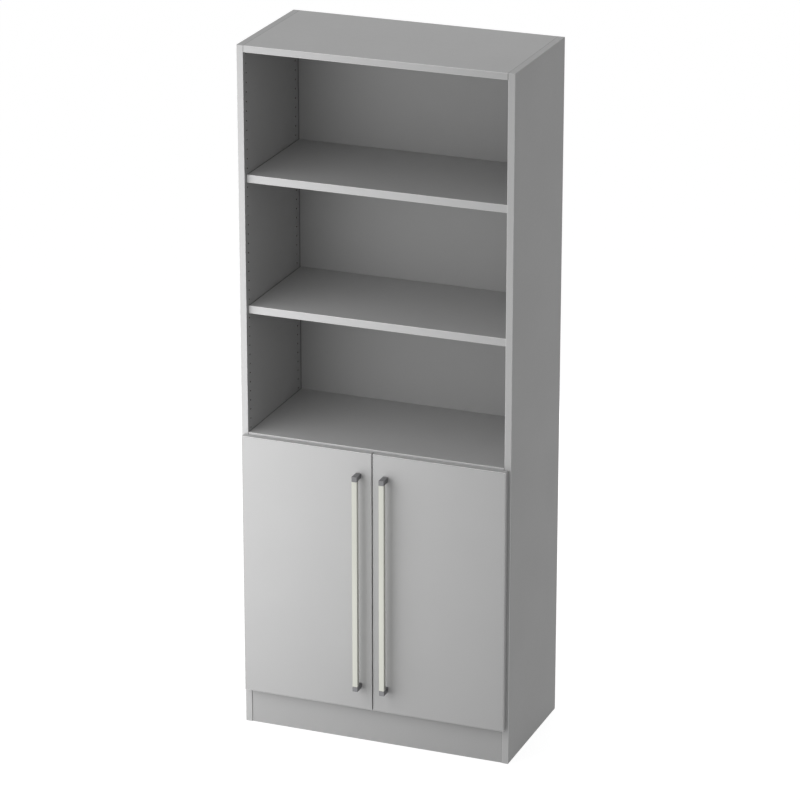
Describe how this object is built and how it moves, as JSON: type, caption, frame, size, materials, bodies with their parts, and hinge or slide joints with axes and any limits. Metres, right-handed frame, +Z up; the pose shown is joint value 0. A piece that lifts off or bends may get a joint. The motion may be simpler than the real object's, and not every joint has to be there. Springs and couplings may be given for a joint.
{
  "type": "bookcase with cabinet doors",
  "caption": "Tall freestanding bookcase in grey melamine board: open bays with adjustable shelves above a double-door cupboard with bar handles, on a recessed plinth.",
  "frame": {"origin": "on the floor, at the centre of the overall width and of the overall depth, handles included", "axes": "+X to the right seen from the front, +Y to the back (the doors face -Y), +Z up"},
  "size_m": [0.8, 0.454, 2.004],
  "materials": {
    "board": "particle board faced with silver-grey melamine, fine satin grain-free texture",
    "edge_band": "2 mm ABS edge band in the same silver grey",
    "back_board": "thin particle board faced with silver-grey melamine",
    "handle_bar": "matt anodised, pale warm silver",
    "handle_post": "satin dark grey",
    "steel": "nickel-plated",
    "zinc": "bare zinc die-cast",
    "dowel_wood": "bare beech",
    "black_plastic": "black moulded plastic",
    "grey_plastic": "grey moulded plastic",
    "bumper": "soft clear plastic dot"
  },
  "bodies": {
    "carcass": {"left_side_panel": "board", "right_side_panel": "board", "top_panel": "board", "middle_panel": "board", "bottom_panel": "board", "plinth_front": "board", "plinth_back_rail": "board", "upper_shelf": "board", "lower_shelf": "board", "cabinet_shelf": "board", "back_panel": "back_board", "side_edge_bands": "edge_band", "panel_edge_bands": "edge_band", "shelf_edge_bands": "edge_band", "upper_shelf_pins": "steel", "lower_shelf_pins": "steel", "cabinet_shelf_pins": "steel", "cam_bolts": "steel", "back_panel_screws": "steel", "foot_carrier_screws": "steel", "left_hinge_arms": "steel", "right_hinge_arms": "steel", "left_hinge_plates": "steel", "right_hinge_plates": "steel", "arm_pins": "steel", "arm_screws": "steel", "plate_screws": "steel", "cam_locks": "zinc", "board_dowels": "dowel_wood", "plinth_dowels": "dowel_wood", "foot_carriers": "black_plastic", "access_hole_caps": "grey_plastic"},
    "left_outer_links": {"left_outer_links": "steel"},
    "left_inner_links": {"left_inner_links": "steel"},
    "left_door": {"left_door": "board", "left_door_edge_bands": "edge_band", "left_handle_bar": "handle_bar", "left_handle_posts": "handle_post", "left_handle_screws": "steel", "left_door_bumpers": "bumper", "left_hinge_cups": "steel", "left_cup_screws": "steel", "left_cup_pins": "steel"},
    "right_outer_links": {"right_outer_links": "steel"},
    "right_inner_links": {"right_inner_links": "steel"},
    "right_door": {"right_door": "board", "right_door_edge_bands": "edge_band", "right_handle_bar": "handle_bar", "right_handle_posts": "handle_post", "right_handle_screws": "steel", "right_door_bumpers": "bumper", "right_hinge_cups": "steel", "right_cup_screws": "steel", "right_cup_pins": "steel"},
    "front_left_foot": {"front_left_foot": "black_plastic"},
    "front_right_foot": {"front_right_foot": "black_plastic"},
    "rear_left_foot": {"rear_left_foot": "black_plastic"},
    "rear_right_foot": {"rear_right_foot": "black_plastic"}
  },
  "joints": [
    {"name": "left_outer_link_turn", "type": "hinge", "parent": "carcass", "child": "left_outer_links", "pos_m": [-0.3532, -0.1626, 0.495], "axis": [0, 0, -1], "range_deg": [-27.6, 0]},
    {"name": "left_door_swing", "type": "hinge", "parent": "left_outer_links", "child": "left_door", "pos_m": [-0.3814, -0.1765, 0.495], "axis": [0, 0, -1], "range_deg": [0, 122.55]},
    {"name": "left_inner_link_turn", "type": "hinge", "parent": "carcass", "child": "left_inner_links", "pos_m": [-0.35, -0.17075, 0.495], "axis": [0, 0, -1], "range_deg": [-12.4, 0]},
    {"name": "right_outer_link_turn", "type": "hinge", "parent": "carcass", "child": "right_outer_links", "pos_m": [0.3532, -0.1626, 0.495], "axis": [0, 0, 1], "range_deg": [-27.6, 0]},
    {"name": "right_door_swing", "type": "hinge", "parent": "right_outer_links", "child": "right_door", "pos_m": [0.3814, -0.1765, 0.495], "axis": [0, 0, 1], "range_deg": [0, 122.55]},
    {"name": "right_inner_link_turn", "type": "hinge", "parent": "carcass", "child": "right_inner_links", "pos_m": [0.35, -0.17075, 0.495], "axis": [0, 0, 1], "range_deg": [-12.4, 0]},
    {"name": "front_left_foot_height", "type": "slide", "parent": "carcass", "child": "front_left_foot", "axis": [0, 0, -1], "range_m": [0, 0.015]},
    {"name": "front_right_foot_height", "type": "slide", "parent": "carcass", "child": "front_right_foot", "axis": [0, 0, -1], "range_m": [0, 0.015]},
    {"name": "rear_left_foot_height", "type": "slide", "parent": "carcass", "child": "rear_left_foot", "axis": [0, 0, -1], "range_m": [0, 0.015]},
    {"name": "rear_right_foot_height", "type": "slide", "parent": "carcass", "child": "rear_right_foot", "axis": [0, 0, -1], "range_m": [0, 0.015]}
  ],
  "couplings": [
    {"joint": "left_outer_link_turn", "follows": "left_door_swing", "ratio": -0.22481},
    {"joint": "left_inner_link_turn", "follows": "left_door_swing", "ratio": -0.10078},
    {"joint": "right_outer_link_turn", "follows": "right_door_swing", "ratio": -0.22481},
    {"joint": "right_inner_link_turn", "follows": "right_door_swing", "ratio": -0.10078}
  ]
}
